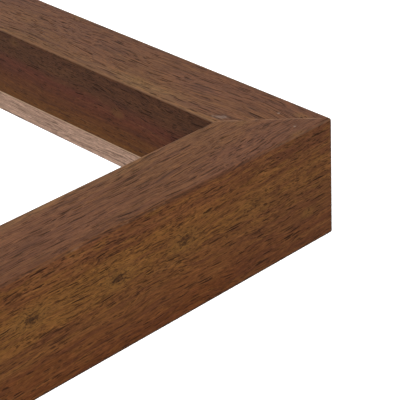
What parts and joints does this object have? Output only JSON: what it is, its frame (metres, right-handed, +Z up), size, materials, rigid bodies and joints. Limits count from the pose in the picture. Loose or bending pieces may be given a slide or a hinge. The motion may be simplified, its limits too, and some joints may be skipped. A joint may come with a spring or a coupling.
{
  "type": "floating frame",
  "caption": "Deep wooden floating frame: mitred rails rebated behind, turn buttons to hold a panel on its strainer, swinging D-ring hangers and rubber wall feet.",
  "frame": {"origin": "middle of the bottom rail's underside, halfway through the depth", "axes": "+X to the viewer's right, +Z up, the face looks towards -Y and the back towards +Y"},
  "size_m": [0.3568, 0.0561, 0.4329],
  "materials": {
    "hardwood": "satin, open pores, grain along each rail",
    "nail_steel": "dull spring steel",
    "strap_zinc": "bright zinc plate",
    "button_zinc": "bright zinc plate",
    "screw_steel": "bright zinc plate",
    "ring_nickel": "nickel-plated wire",
    "bumper_rubber": "matt moulded rubber"
  },
  "bodies": {
    "frame": {"left_stile": "hardwood", "top_rail": "hardwood", "right_stile": "hardwood", "bottom_rail": "hardwood", "v_nail_bottom_left_outer": "nail_steel", "v_nail_bottom_left_inner": "nail_steel", "v_nail_bottom_right_outer": "nail_steel", "v_nail_bottom_right_inner": "nail_steel", "v_nail_top_left_outer": "nail_steel", "v_nail_top_left_inner": "nail_steel", "v_nail_top_right_outer": "nail_steel", "v_nail_top_right_inner": "nail_steel", "left_hanger_strap": "strap_zinc", "right_hanger_strap": "strap_zinc", "left_upper_button_screw": "screw_steel", "left_lower_button_screw": "screw_steel", "right_upper_button_screw": "screw_steel", "right_lower_button_screw": "screw_steel", "top_button_screw": "screw_steel", "bottom_button_screw": "screw_steel", "left_strap_screw_upper": "screw_steel", "left_strap_screw_lower": "screw_steel", "right_strap_screw_upper": "screw_steel", "right_strap_screw_lower": "screw_steel", "left_bumper": "bumper_rubber", "right_bumper": "bumper_rubber"},
    "left_ring": {"left_d_ring": "ring_nickel"},
    "right_ring": {"right_d_ring": "ring_nickel"},
    "left_upper_button": {"left_upper_turn_button": "button_zinc"},
    "left_lower_button": {"left_lower_turn_button": "button_zinc"},
    "right_upper_button": {"right_upper_turn_button": "button_zinc"},
    "right_lower_button": {"right_lower_turn_button": "button_zinc"},
    "top_button": {"top_turn_button": "button_zinc"},
    "bottom_button": {"bottom_turn_button": "button_zinc"}
  },
  "joints": [
    {"name": "left_ring_swing", "type": "hinge", "parent": "frame", "child": "left_ring", "pos_m": [-0.16925, 0.0278, 0.2886], "axis": [-1, 0, 0], "range_deg": [0, 160]},
    {"name": "right_ring_swing", "type": "hinge", "parent": "frame", "child": "right_ring", "pos_m": [0.16925, 0.0278, 0.2886], "axis": [-1, 0, 0], "range_deg": [0, 160]},
    {"name": "left_upper_button_turn", "type": "hinge", "parent": "frame", "child": "left_upper_button", "pos_m": [-0.16535, 0.0254, 0.3406], "axis": [0, 1, 0], "continuous": true},
    {"name": "left_lower_button_turn", "type": "hinge", "parent": "frame", "child": "left_lower_button", "pos_m": [-0.16535, 0.0254, 0.0923], "axis": [0, 1, 0], "continuous": true},
    {"name": "right_upper_button_turn", "type": "hinge", "parent": "frame", "child": "right_upper_button", "pos_m": [0.16535, 0.0254, 0.3406], "axis": [0, -1, 0], "continuous": true},
    {"name": "right_lower_button_turn", "type": "hinge", "parent": "frame", "child": "right_lower_button", "pos_m": [0.16535, 0.0254, 0.0923], "axis": [0, -1, 0], "continuous": true},
    {"name": "top_button_turn", "type": "hinge", "parent": "frame", "child": "top_button", "pos_m": [0, 0.0254, 0.4199], "axis": [0, 1, 0], "continuous": true},
    {"name": "bottom_button_turn", "type": "hinge", "parent": "frame", "child": "bottom_button", "pos_m": [0, 0.0254, 0.013], "axis": [0, -1, 0], "continuous": true}
  ]
}
